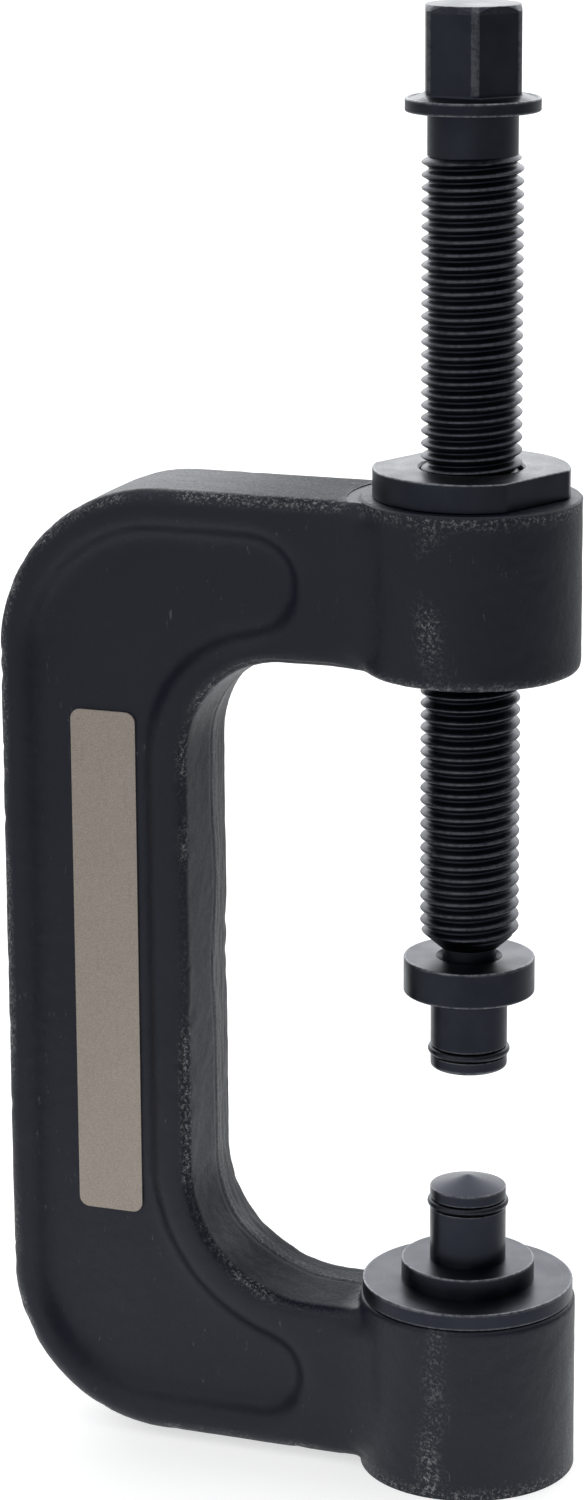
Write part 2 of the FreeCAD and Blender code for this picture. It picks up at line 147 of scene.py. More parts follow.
def ring_stack(name, rows, segments=SEGMENTS):
    """Closed skin through rings about Z.

    A row is (radius, z, wear), with one radius and wear for the whole ring or one per segment. Radius 0
    closes an end; without such ends the last ring joins the first round a bore.
    """
    angles = circle(segments)
    verts, worn, rings = [], [], []
    for r, z, w in rows:
        if np.max(r) < 1e-6:
            rings.append([len(verts)] * segments)
            verts.append((0.0, 0.0, z))
            worn.append(w)
            continue
        r = np.broadcast_to(r, angles.shape)
        rings.append(list(range(len(verts), len(verts) + segments)))
        verts += list(zip(r * np.cos(angles), r * np.sin(angles), np.full(segments, z)))
        worn += list(np.broadcast_to(w, angles.shape))
    around = list(zip(rings, rings[1:]))
    if np.max(rows[0][0]) > 1e-6:
        around.append((rings[-1], rings[0]))
    faces = []
    for low, high in around:
        for k in range(segments):
            n = (k + 1) % segments
            corners = dict.fromkeys((low[k], low[n], high[n], high[k]))
            if len(corners) > 2:
                faces.append(tuple(corners))
    mesh = mesh_from(name, verts, faces)
    set_layer(mesh, "wear", worn)
    return mesh


def circle(segments=SEGMENTS):
    """Evenly spaced angles round one turn."""
    return np.linspace(0, 2 * math.pi, segments, endpoint=False)


def set_layer(mesh, name, values):
    """Stores one number from 0 to 1 per vertex: "wear" is bare metal, which on the turned pieces is also a
    painted highlight along edges, crests and corners; "dull" is lost sheen.
    """
    layer = mesh.attributes.get(name) or mesh.attributes.new(name, "FLOAT", "POINT")
    layer.data.foreach_set("value", np.asarray(values, np.float32))


def smooth_min(a, b, blend):
    """Lesser of two lengths, rounded over where they cross."""
    gap = np.clip(0.5 + 0.5 * (b - a) / blend, 0, 1)
    return b * (1 - gap) + a * gap - blend * gap * (1 - gap)


def install(mesh, node, body, material, sharp_deg=32.0):
    """Puts a finished mesh in place of a CAD node."""
    obj = add_object(mesh.name, mesh, sharp_deg)
    mesh.materials.append(material)
    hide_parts(node)
    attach(obj, body)
    return obj


# ---------------------------------------------------------------- turned pieces

def thread_radius(step):
    """Radius of the rounded M24 x 3 thread at a fraction of the pitch from the middle of a groove."""
    off = PITCH * np.abs((step + 0.5) % 1.0 - 0.5)
    flank = ROOT_R + (off - 0.25) / math.tan(math.radians(30))
    return -smooth_min(-smooth_min(flank, CREST_R + 0.12, 0.6), -ROOT_R, 0.3)


def thread_mesh(name):
    """Threaded bar whose rows of faces follow the helix, with its neck below."""
    segments, rows = 112, 14
    low, high = THREAD_Z - (CREST_R - ROOT_R), THREAD_TOP
    count = int((high - low) / PITCH + 2) * rows
    k = np.arange(count + 1)
    verts, worn = [], []
    for a in circle(segments):
        z = low - PITCH + PITCH * (a / (2 * math.pi) + k / rows)
        step = (z - HELIX_Z) / PITCH - a / (2 * math.pi)
        z = np.clip(z, low, high)
        r = thread_radius(step)
        crest_wear_and_highlight = np.clip((r - CREST_R + 0.35) / 0.3, 0, 1)
        r = np.minimum(r, THREAD_END_R + (z - low) * (CREST_R - THREAD_END_R) / (THREAD_END_Z - low))
        r = np.minimum(r, SHANK_R + 0.05 + (high - z))
        verts.append(np.column_stack([r * math.cos(a), r * math.sin(a), z]))
        worn.append(crest_wear_and_highlight)
    verts, worn = np.concatenate(verts), np.concatenate(worn)
    faces = []
    for u in range(segments):
        shift = 0 if u < segments - 1 else rows
        here, there = u * (count + 1), ((u + 1) % segments) * (count + 1)
        for j in range(count - shift):
            a, b = here + j, there + j + shift
            if abs(verts[a][2] - verts[a + 1][2]) + abs(verts[b][2] - verts[b + 1][2]) > 1e-6:
                faces.append((a, b, b + 1, a + 1))
    mesh = mesh_from(name, verts, faces)
    # Wear along the crest tops: bare metal and a painted highlight.
    set_layer(mesh, "wear", worn * 0.3)
    bm = bmesh.new()
    bm.from_mesh(mesh)
    bmesh.ops.delete(bm, geom=[v for v in bm.verts if not v.link_faces], context="VERTS")
    bmesh.ops.remove_doubles(bm, verts=bm.verts, dist=1e-7)
    bmesh.ops.holes_fill(bm, edges=[e for e in bm.edges if e.is_boundary])
    bmesh.ops.recalc_face_normals(bm, faces=bm.faces)
    bm.to_mesh(mesh)
    bm.free()
    return mesh


def neck_mesh(name):
    """Neck that carries the pad, with the groove for the pad's retaining ring and the cup for the ball."""
    top = THREAD_Z - (CREST_R - ROOT_R) + 0.3
    cup = [(BALL_R * math.sin(a), BALL_Z + BALL_R * math.cos(a))
           for a in np.linspace(0, math.acos((NECK_END - BALL_Z) / BALL_R), 10)]
    outline = [(r, z) for r, z in cup] + [
        (NECK_R, NECK_END, 0.4), (NECK_R, KEEPER_Z - 1.0), (NECK_GROOVE_R, KEEPER_Z - 1.0),
        (NECK_GROOVE_R, KEEPER_Z + 1.0), (NECK_R, KEEPER_Z + 1.0), (NECK_R, top), (0, top)]
    return ring_stack(name, rounded(outline), 96)


def hex_radius(angles, flat_r):
    """Distance from the axis to a hexagon's sides, its corners turned off to the bar it is milled from."""
    turn = math.radians(60)
    off = (angles - math.radians(HEX_CORNER_DEG) + turn / 2) % turn - turn / 2
    return smooth_min(flat_r / np.cos(turn / 2 - np.abs(off)), np.full_like(angles, HEX_CORNER_R), 0.22)


def head_mesh(name):
    """Shank, collar and hexagon above the thread."""
    segments = 360
    side = hex_radius(circle(segments), HEX_AF / 2)
    # Wear along the hexagon's corners: bare metal and a painted highlight.
    corner = 0.45 * smooth(side, HEX_CORNER_R - 0.10, HEX_CORNER_R - 0.02)
    shank_foot, relief = THREAD_TOP - 0.2, 0.5
    rows = rounded([(0, shank_foot), (SHANK_R, shank_foot), (SHANK_R, COLLAR_Z - relief),
                    (SHANK_R + relief, COLLAR_Z), (COLLAR_R, COLLAR_Z, 0.35), (COLLAR_R, HEX_Z, 0.45)])
    foot = 0.6
    rows += [(side + foot * (1 - math.sin(t)), HEX_Z + foot * (1 - math.cos(t)), 0.0)
             for t in np.linspace(0, math.pi / 2, 7)]
    rows += [(side, z, corner) for z in np.linspace(HEX_Z + 1.0, HEX_TOP - HEX_CHAMFER - 0.4, 14)]
    slope = (HEX_CORNER_R - HEX_AF / 2) / HEX_CHAMFER
    for z in np.linspace(HEX_TOP - HEX_CHAMFER - 0.3, HEX_TOP - 0.12, 22):
        cone = np.full_like(side, HEX_AF / 2 + (HEX_TOP - z) * slope)
        rows.append((smooth_min(side, cone, 0.05), z, np.maximum(corner, 0.12)))
    rows += [(HEX_AF / 2 - 0.15, HEX_TOP, 0.2), (HEX_AF / 2 - 0.6, HEX_TOP, 0.0), (0, HEX_TOP, 0.0)]
    return ring_stack(name, rows, segments)


def pad_mesh(name):
    """Pressure pad: flange, adapter stud with its ring groove, and the bore that takes the neck."""
    half = RING_GROOVE_W / 2
    bore = [(0, PAD_BORE_END), (PAD_BORE_R, PAD_BORE_END), (PAD_BORE_R, PAD_TOP - 1.6),
            (PAD_BORE_R + 1.5, PAD_TOP)]
    outline = [(0, PAD_STUD_Z), (STUD_R, PAD_STUD_Z, 0.7), (STUD_R, PAD_RING_Z - half, 0.12),
               (RING_GROOVE_R, PAD_RING_Z - half), (RING_GROOVE_R, PAD_RING_Z + half),
               (STUD_R, PAD_RING_Z + half, 0.12), (STUD_R, PAD_Z), (PAD_R, PAD_Z, 0.35),
               (PAD_R, PAD_TOP, 0.45)]
    return ring_stack(name, rounded(outline + bore[::-1]), SEGMENTS)


def anvil_mesh(name):
    """Anvil: shank with the rubber ring's groove, flange, step and adapter stud with a coned tip."""
    half, half_o = RING_GROOVE_W / 2, O_GROOVE_W / 2
    outline = [(0, SHANK_LOW_Z), (SHANK_LOW_R, SHANK_LOW_Z, 0.9), (SHANK_LOW_R, O_RING_Z - half_o),
               (O_GROOVE_R, O_RING_Z - half_o), (O_GROOVE_R, O_RING_Z + half_o),
               (SHANK_LOW_R, O_RING_Z + half_o), (SHANK_LOW_R, LOWER_BOSS["top"]),
               (FLANGE_R, LOWER_BOSS["top"], 0.4), (FLANGE_R, FLANGE_TOP, 0.4),
               (STEP_R, FLANGE_TOP), (STEP_R, STEP_TOP, 0.35), (STUD_R, STEP_TOP),
               (STUD_R, ANVIL_RING_Z - half, 0.12), (RING_GROOVE_R, ANVIL_RING_Z - half),
               (RING_GROOVE_R, ANVIL_RING_Z + half), (STUD_R, ANVIL_RING_Z + half, 0.12),
               (STUD_R, ANVIL_STUD_TOP, 0.3), (0.9, TIP_Z - 0.28), (0.4, TIP_Z - 0.14), (0, TIP_Z - 0.1)]
    return ring_stack(name, rounded(outline), SEGMENTS)


def bush_mesh(name):
    """Flanged nut with two spanner flats; its bore hides the female thread."""
    segments = 256
    angles = circle(segments)
    across = np.abs(np.cos(angles - math.radians(BUSH_FLAT_DEG)))

    def outline(inset):
        """Flange outline with its flats, shrunk by inset."""
        return np.minimum(BUSH_FLANGE_R - inset, (BUSH_AF / 2 - inset) / np.maximum(across, 0.3))
    edge = 0.5
    # Wear round the flange's top edge and the mouth: bare metal and a painted highlight.
    arc = [(edge * (1 - math.sin(t)), edge * (1 - math.cos(t)), math.sin(2 * t))
           for t in np.linspace(0, math.pi / 2, 6)]
    low, top = UPPER_BOSS["top"], BUSH_TOP
    rows = [(BUSH_MOUTH_R, BUSH_Z, 0.0), (BUSH_R - 1, BUSH_Z, 0.0), (BUSH_R, BUSH_Z + 1, 0.0),
            (BUSH_R, low, 0.0)]
    rows += [(outline(0.3), low, 0.0), (outline(0.0), low + 0.3, 0.0)]
    rows += [(outline(d), top - rise, w) for d, rise, w in arc[::-1]]
    rows += [(BUSH_MOUTH_R + 0.5, top, 0.3), (BUSH_MOUTH_R, top - 0.5, 0.0)]
    return ring_stack(name, rows, segments)


# ---------------------------------------------------------------- forging

def rounded_box_depth(x, z, x0, x1, z0, z1, radius_low, radius_high):
    """Signed distance inside a box whose corners are rounded, radius_low at z0 and radius_high at z1."""
    radius = np.where(z > (z0 + z1) / 2, radius_high, radius_low)
    qx = np.abs(x - (x0 + x1) / 2) - (x1 - x0) / 2 + radius
    qz = np.abs(z - (z0 + z1) / 2) - (z1 - z0) / 2 + radius
    return radius - np.hypot(np.maximum(qx, 0), np.maximum(qz, 0)) - np.minimum(np.maximum(qx, qz), 0)


def edge_depths(x, z):
    """Distances of points on the C's face from its outer outline and from its throat outline."""
    outer = rounded_box_depth(x, z, -SPINE_OUT, SPINE_OUT, ARM_BOTTOM, ARM_TOP, *OUTER_R)
    throat = -rounded_box_depth(x, z, -SPINE_IN, 200.0, ARM_FLOOR, ARM_UNDER, *THROAT_R)
    return outer, throat


def smooth(value, low, high):
    """Smooth step from 0 at low to 1 at high."""
    t = np.clip((value - low) / (high - low), 0, 1)
    return t * t * (3 - 2 * t)


def waves(points, wavelength, count, seed):
    """Smooth random field of about unit size made of plane waves."""
    rng = np.random.default_rng(seed)
    way = rng.normal(size=(count, 3))
    way /= np.linalg.norm(way, axis=1)[:, None]
    way *= (2 * math.pi / (wavelength * rng.uniform(0.6, 1.6, count)))[:, None]
    return np.sin(points @ way.T + rng.uniform(0, 2 * math.pi, count)).sum(1) * math.sqrt(2 / count)


def bump(value, low, high):
    """1 in the middle of low..high, falling smoothly to 0 at both ends."""
    t = np.clip((value - low) / (high - low), 0, 1)
    return np.sin(math.pi * t) ** 2


def coordinates(mesh, what="vertices"):
    """Vertex positions in millimetres, or vertex normals."""
    data = np.empty(len(mesh.vertices) * 3, np.float32)
    if what == "normals":
        mesh.vertex_normals.foreach_get("vector", data)
        return data.reshape(-1, 3).astype(float)
    mesh.vertices.foreach_get("co", data)
    return data.reshape(-1, 3).astype(float) / MM


def solid_object(mesh):
    """Passing object for a mesh that a modifier works on."""
    obj = bpy.data.objects.new(mesh.name, mesh)
    bpy.context.scene.collection.objects.link(obj)
    return obj


def with_modifier(obj, kind, **settings):
    """The mesh of obj after one modifier; obj itself is removed."""
    modifier = obj.modifiers.new("m", kind)
    for key, value in settings.items():
        setattr(modifier, key, value)
    graph = bpy.context.evaluated_depsgraph_get()
    mesh = bpy.data.meshes.new_from_object(obj.evaluated_get(graph))
    bpy.data.objects.remove(obj)
    return mesh


def forging_blank(name):
    """The frame as it leaves the die: the CAD solid with its bores filled, remeshed evenly and roughened."""
    bm = bmesh.new()
    bm.from_mesh(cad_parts["c_frame"].data)
    bmesh.ops.remove_doubles(bm, verts=bm.verts, dist=1e-6)
    for b in (UPPER_BOSS, LOWER_BOSS):
        over = 1.5
        low, high = (b["low"] + 2.2, b["top"] + over) if b["low"] else (-over, b["top"] - 2)
        plugs = [(b["r"], low, high), (b["bore"] + 2, b["low"], b["top"] + over)]
        for r, z0, z1 in plugs:
            bmesh.ops.create_cone(bm, cap_ends=True, segments=180, radius1=r * MM, radius2=r * MM,
                                  depth=(z1 - z0) * MM, matrix=Matrix.Translation((0, 0, (z0 + z1) / 2 * MM)))
    mesh = bpy.data.meshes.new(name + "_blank")
    bm.to_mesh(mesh)
    bm.free()
    mesh = with_modifier(solid_object(mesh), "REMESH", mode="VOXEL", voxel_size=VOXEL * MM)
    relax(mesh)
    return roughened(mesh)


def relax(mesh):
    """Softens the forging but for ground edges and boss rims, most of all in the web and beside the bosses."""
    p = coordinates(mesh)
    x, y, z = p.T
    edges = np.empty(len(mesh.edges) * 2, np.int32)
    mesh.edges.foreach_get("vertices", edges)
    a, b = edges.reshape(-1, 2).T
    count = np.bincount(a, minlength=len(p)) + np.bincount(b, minlength=len(p))
    depth = np.minimum(*edge_depths(x, z))
    kept = (np.abs(y) > 11) & (depth < 2.2) & (x < -28)
    kept |= (z > UPPER_BOSS["top"] - 3) | (z < 1)
    kept |= (np.hypot(x, y) < FACED_R) & (np.abs(z - LOWER_BOSS["top"]) < 3)
    side = smooth(np.abs(y), 8, 10)
    pocket = side * smooth(depth, 3.0, 6.0) * smooth(-x, 26, 32)
    swell = side * bump(x, -44, -12) * smooth(depth, 2.0, 5.0)
    passes = ((SOFTEN_ROUNDS, np.where(kept, 0.04, 0.5)), (POCKET_ROUNDS, 0.5 * np.maximum(pocket, swell)))
    for rounds, share in passes:
        share = share[:, None]
        for _ in range(rounds):
            total = np.column_stack([np.bincount(a, p[b, i], len(p)) + np.bincount(b, p[a, i], len(p))
                                     for i in range(3)])
            p += share * (total / count[:, None] - p)
    mesh.vertices.foreach_set("co", (p * MM).astype(np.float32).ravel())
    mesh.update()


def roughened(mesh):
    """Adds draft and trimmed flash in the throat, die marks, dings, and where it is scuffed or dull."""
    p, n = coordinates(mesh), coordinates(mesh, "normals")
    x, y, z = p.T
    arm = np.clip((-24 - x) / 6, 0, 1)
    outer, throat = edge_depths(x, z)
    depth = np.minimum(outer, throat)
    facing = np.clip((0.5 - np.abs(n[:, 1])) / 0.2, 0, 1)
    inner = arm * facing * (throat < 3)
    wander = PARTING_WANDER * waves(p * (1, 0, 1), 30.0, 12, 5)
    parting = y - PARTING_Y - wander
    across = n * (1, 0, 1)
    across /= np.maximum(np.linalg.norm(across, axis=1), 1e-6)[:, None]
    behind = REAR_LEAN * parting / REAR_DEPTH
    lean = THROAT_LEAN - np.abs(np.where(parting < 0, parting / FRONT_DEPTH, behind))
    wall = arm * (1 - smooth(throat, 1.0, 4.0)) * smooth(-np.abs(n[:, 1]), -0.97, -0.7)
    p += across * (wall * lean)[:, None]
    flash = smooth(parting, -0.4, 0.3) * smooth(-parting, -5.0, -3.5)
    seam = np.exp(-((parting + 0.5) / 0.5) ** 2)
    streaks = waves(p * (0.15, 1.0, 0.15), 1.8, 16, 8)
    sink = inner * (0.16 * seam + 0.03 * (parting > -0.3) * (1 + streaks) - 0.06 * flash)
    rough = 0.5 + 0.5 * np.clip(waves(p, 16.0, 24, 1), -1, 1)
    fine = 0.5 + 0.5 * np.clip(waves(p, 4.5, 24, 2), -1, 1)
    faced = np.hypot(x, y) < FACED_R
    machined = faced & ((z > UPPER_BOSS["top"] - 1) | (z < 1) | (np.abs(z - LOWER_BOSS["top"]) < 1))
    ground = arm * facing * (outer < 3)
    sink += np.where(machined, 0, 0.07 * rough + 0.04 * fine * (1 - 0.7 * ground))
    edge = bump(depth, -1.6, 3.4) * (np.abs(y) > 10.5) * (np.abs(n[:, 1]) > 0.12) * arm
    angle = np.degrees(np.arctan2(np.abs(y), x))
    near = np.hypot(x, y) < 27.5
    band = near * np.exp(-((angle - SCUFF_DEG) / SCUFF_WIDTH) ** 2)
    rims = near * np.maximum(np.maximum(bump(z, 240.5, 249), bump(z, 200.5, 206.5)), bump(z, -4, 4.5))
    patch = np.clip(0.55 + 0.6 * waves(p, 22.0, 16, 3), 0, 1)
    rng = np.random.default_rng(11)
    likely = np.maximum(edge, 0.5 * band) * patch
    for spot in rng.choice(len(p), DINGS, replace=False, p=likely / likely.sum()):
        size, deep = rng.uniform(0.7, 2.2), rng.uniform(0.08, 0.26)
        box = np.abs(p - p[spot]).max(1) < 3 * size
        off = p[box] - p[spot]
        sink[box] += deep * np.exp(-(off ** 2).sum(1) / size ** 2)
    p -= n * sink[:, None]
    mesh.vertices.foreach_set("co", (p * MM).astype(np.float32).ravel())
    worn = [edge * (0.1 + 0.9 * patch ** 2), band * patch, 0.7 * rims, 0.35 * inner * flash, 0.3 * ground]
    set_layer(mesh, "wear", np.clip(np.maximum.reduce(worn), 0, 1))
    up = smooth(n[:, 2], 0.5, 0.9) * arm
    set_layer(mesh, "dull", up * np.maximum(smooth(-throat, -4, -2), 0.8 * smooth(x, -85, -35)))
    return mesh


def frame_mesh(name):
    """The forging after its bosses are faced and bored."""
    blank = solid_object(forging_blank(name))
    cuts = []
    for b in (UPPER_BOSS, LOWER_BOSS):
        bore, r, top, low, c = b["bore"], b["r"], b["top"], b["low"], 0.45
        far = r + 3
        outline = [(0, low - 5), (bore + 0.8, low - 5), (bore + 0.8, low), (bore, low + 0.8),
                   (bore, top - 0.8), (bore + 0.8, top), (r - c, top), (r + 0.3, top - c - 0.3),
                   (far, top - c - 0.3), (far, top + 5), (0, top + 5)]
        if not low:
            outline[:2] = [(0, low - 5), (far, low - 5), (far, low + 0.02), (bore + 0.8, low + 0.02)]
        cuts.append(ring_stack("cut", rounded(outline), 240))
    mesh = None
    for cut in cuts:
        tool = solid_object(cut)
        mesh = with_modifier(blank, "BOOLEAN", operation="DIFFERENCE", solver="MANIFOLD", object=tool)
        bpy.data.objects.remove(tool)
        blank = solid_object(mesh)
    bpy.data.objects.remove(blank)
    mesh.name = name
    mesh.materials.clear()
    return mesh


# ---------------------------------------------------------------- materials

class Shader:
    """A node material with one Principled BSDF."""

    def __init__(self, name, metallic, specular=0.5):
        self.material = bpy.data.materials.new(name)
        self.material.use_nodes = True
        self.tree = self.material.node_tree
        self.bsdf = self.tree.nodes["Principled BSDF"]
        self.bsdf.inputs["Metallic"].default_value = metallic
        self.bsdf.inputs["Specular IOR Level"].default_value = specular
        self.coords = self.tree.nodes.new("ShaderNodeTexCoord").outputs["Object"]

    def node(self, kind, inputs=None, **settings):
        """New shader node, its inputs given as numbers or as sockets to link."""
        made = self.tree.nodes.new("ShaderNode" + kind)
        for key, value in settings.items():
            setattr(made, key, value)
        for key, value in (inputs or {}).items():
            if isinstance(value, bpy.types.NodeSocket):
                self.tree.links.new(value, made.inputs[key])
            else:
                made.inputs[key].default_value = value
        return made

    def noise(self, per_mm, detail=3.0, rough=0.55, vector=None, stretch=None):
        """Noise with about per_mm features in a millimetre; stretch squeezes the coordinates per axis."""
        vector = vector or self.coords
        if stretch:
            vector = self.node("Mapping", {"Vector": vector, "Scale": stretch}).outputs["Vector"]
        return self.node("TexNoise", {"Vector": vector, "Scale": per_mm / MM, "Detail": detail,
                                      "Roughness": rough}).outputs["Fac"]

    def math(self, operation, a, b=0.0, clamp=False):
        return self.node("Math", {0: a, 1: b}, operation=operation, use_clamp=clamp).outputs[0]

    def ramp(self, value, low, high, out_low=0.0, out_high=1.0):
        """Smooth step of value from low..high to out_low..out_high."""
        return self.node("MapRange", {"Value": value, "From Min": low, "From Max": high, "To Min": out_low,
                                      "To Max": out_high}, interpolation_type="SMOOTHSTEP").outputs["Result"]

    def mix(self, factor, a, b):
        node = self.node("Mix", data_type="RGBA")
        for socket, value in ((node.inputs[0], factor), (node.inputs[6], a), (node.inputs[7], b)):
            if isinstance(value, bpy.types.NodeSocket):
                self.tree.links.new(value, socket)
            else:
                socket.default_value = value if isinstance(value, float) else (*value, 1.0)
        return node.outputs[2]

    def layer(self, name):
        """Number stored per vertex by set_layer."""
        return self.node("Attribute", attribute_name=name).outputs["Fac"]

    def turned(self):
        """Coordinates (radius, 0, z) about the spindle axis, for marks that run around a turned piece."""
        xyz = self.node("SeparateXYZ", {"Vector": self.coords}).outputs
        squares = self.math("ADD", self.math("MULTIPLY", xyz[0], xyz[0]),
                            self.math("MULTIPLY", xyz[1], xyz[1]))
        radius = self.math("SQRT", squares)
        return self.node("CombineXYZ", {0: radius, 2: xyz[2]}).outputs[0]

    def surface(self, colour, roughness, heights):
        """Links colour and roughness, and stacks (height, distance in mm) bumps."""
        self.tree.links.new(colour, self.bsdf.inputs["Base Color"])
        self.tree.links.new(roughness, self.bsdf.inputs["Roughness"])
        normal = None
        for height, depth in heights:
            inputs = {"Height": height, "Distance": depth * MM, "Strength": 1.0}
            if normal:
                inputs["Normal"] = normal
            normal = self.node("Bump", inputs).outputs["Normal"]
        self.tree.links.new(normal, self.bsdf.inputs["Normal"])
        return self.material


def forged_steel():
    """Blasted and blackened forging: satin blue-black, fine grain, grey scuffs where it is knocked."""
    clean, dulled = 0.39, 0.12          # specular level of the finish, and of the dull tops
    s = Shader("forged_black", metallic=0.0, specular=clean)
    s.bsdf.inputs["Specular Tint"].default_value = (0.90, 0.95, 1.0, 1.0)
    cloud = s.noise(0.05, 4.0)
    grain = s.noise(1.6, 5.0, 0.65)
    speckle = s.noise(1.1, 7.0, 0.85)
    scratch = s.noise(0.7, 7.0, 0.8, stretch=(1.0, 1.0, 0.22))
    patches = s.noise(0.12, 4.0)
    base = s.mix(s.ramp(cloud, 0.3, 0.7), (0.0008, 0.0012, 0.0075), (0.0022, 0.0028, 0.0105))
    scuffed = s.math("MULTIPLY", s.layer("wear"), s.ramp(speckle, 0.515, 0.585), clamp=True)
    stray = s.math("MULTIPLY", s.ramp(scratch, 0.61, 0.67), s.ramp(patches, 0.50, 0.62, 0.0, 0.40))
    scuff = s.math("MAXIMUM", scuffed, stray)
    colour = s.mix(scuff, base, (0.23, 0.23, 0.235))
    dull = s.layer("dull")
    s.tree.links.new(s.ramp(dull, 0.0, 1.0, clean, dulled), s.bsdf.inputs["Specular IOR Level"])
    rough = s.math("ADD", s.ramp(grain, 0.3, 0.7, 0.42, 0.54), s.math("MULTIPLY", scuff, 0.12))
    rough = s.math("ADD", rough, s.math("MULTIPLY", dull, 0.12))
    return s.surface(colour, rough, [(cloud, 0.5), (s.noise(0.35, 4.0), 0.10), (grain, 0.03)])


def black_oxide():
    """Blackened turned steel: bluish black, fine turning marks, bare steel along the edges that also stands as
    a painted highlight.
    """
    s = Shader("black_oxide", metallic=1.0)
    around = s.turned()
    marks = s.noise(7.0, 3.0, 0.6, vector=around)
    cloud = s.noise(0.12, 4.0)
    base = s.mix(s.ramp(cloud, 0.3, 0.7), (0.0240, 0.0270, 0.0365), (0.0320, 0.0350, 0.0455))
    rubbed = s.ramp(s.noise(0.8, 5.0, 0.7), 0.35, 0.60, 0.25, 1.0)
    # Lighter bare steel where the wear layer is: rubbed edges, and a painted highlight along rims, thread
    # crests and hexagon corners.
    bare_and_highlight = s.math("MULTIPLY", s.layer("wear"), rubbed, clamp=True)
    colour = s.mix(s.math("MULTIPLY", bare_and_highlight, 0.5), base, (0.34, 0.35, 0.37))
    rough = s.math("ADD", s.ramp(cloud, 0.3, 0.7, 0.33, 0.42), s.ramp(marks, 0.3, 0.7, -0.03, 0.03))
    return s.surface(colour, rough, [(marks, 0.006), (s.noise(2.5, 4.0), 0.003)])


def plate_metal():
    """Bead-blasted aluminium plate, warm grey, with a fine even grain and faint rubs."""
    s = Shader("plate_metal", metallic=0.55)
    grain = s.noise(4.5, 5.0, 0.7)
    cloud = s.noise(0.06, 4.0)
    base = s.mix(s.ramp(grain, 0.35, 0.65), (0.26, 0.225, 0.192), (0.42, 0.37, 0.322))
    rubs = s.ramp(s.noise(0.5, 6.0, 0.7, stretch=(1.0, 1.0, 0.12)), 0.60, 0.72)
    colour = s.mix(s.math("MULTIPLY", rubs, 0.25), base, (0.20, 0.175, 0.15))
    rough = s.ramp(cloud, 0.3, 0.7, 0.50, 0.60)
    return s.surface(colour, rough, [(grain, 0.02), (cloud, 0.1)])


def spring_steel():
    """Dark oiled spring wire of the retaining rings."""
    s = Shader("spring_steel", metallic=1.0)
    marks = s.noise(2.0, 4.0)
    colour = s.mix(s.ramp(marks, 0.35, 0.65), (0.026, 0.028, 0.034), (0.040, 0.042, 0.050))
    return s.surface(colour, s.ramp(marks, 0.3, 0.7, 0.30, 0.40), [(marks, 0.002)])


def bearing_steel():
    """Polished ball."""
    s = Shader("bearing_steel", metallic=1.0)
    marks = s.noise(3.0, 4.0)
    colour = s.mix(s.ramp(marks, 0.35, 0.65), (0.50, 0.50, 0.51), (0.58, 0.58, 0.59))
    return s.surface(colour, s.ramp(marks, 0.3, 0.7, 0.08, 0.16), [(marks, 0.002)])


def seal_rubber():
    """Matt black rubber ring."""
    s = Shader("seal_rubber", metallic=0.0)
    grain = s.noise(5.0, 4.0)
    colour = s.mix(s.ramp(grain, 0.3, 0.7), (0.012, 0.012, 0.012), (0.022, 0.022, 0.022))
    return s.surface(colour, s.ramp(grain, 0.3, 0.7, 0.55, 0.7), [(grain, 0.01)])


# ---------------------------------------------------------------- finishes and pieces

forged, oxide, spring = forged_steel(), black_oxide(), spring_steel()
carried_over = {
    "name_plate": plate_metal(),
    "thrust_ball": bearing_steel(),
    "pad_retaining_ring": spring,
    "pad_snap_ring": spring,
    "anvil_snap_ring": spring,
    "anvil_o_ring": seal_rubber(),
}
for node, material in carried_over.items():
    node_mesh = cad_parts[node].data
    node_mesh.materials.clear()
    node_mesh.materials.append(material)

install(frame_mesh("forged_frame"), "c_frame", "frame", forged)
install(bush_mesh("flanged_bush"), "spindle_bush", "frame", oxide)
install(thread_mesh("spindle_thread"), "spindle", "spindle", oxide, 50.0)
install(neck_mesh("spindle_neck"), "spindle", "spindle", oxide)
install(head_mesh("spindle_head"), "spindle", "spindle", oxide)
install(pad_mesh("turned_pad"), "pressure_pad", "pad", oxide)
install(anvil_mesh("turned_anvil"), "anvil", "anvil", oxide)


# ---------------------------------------------------------------- floor, light and camera


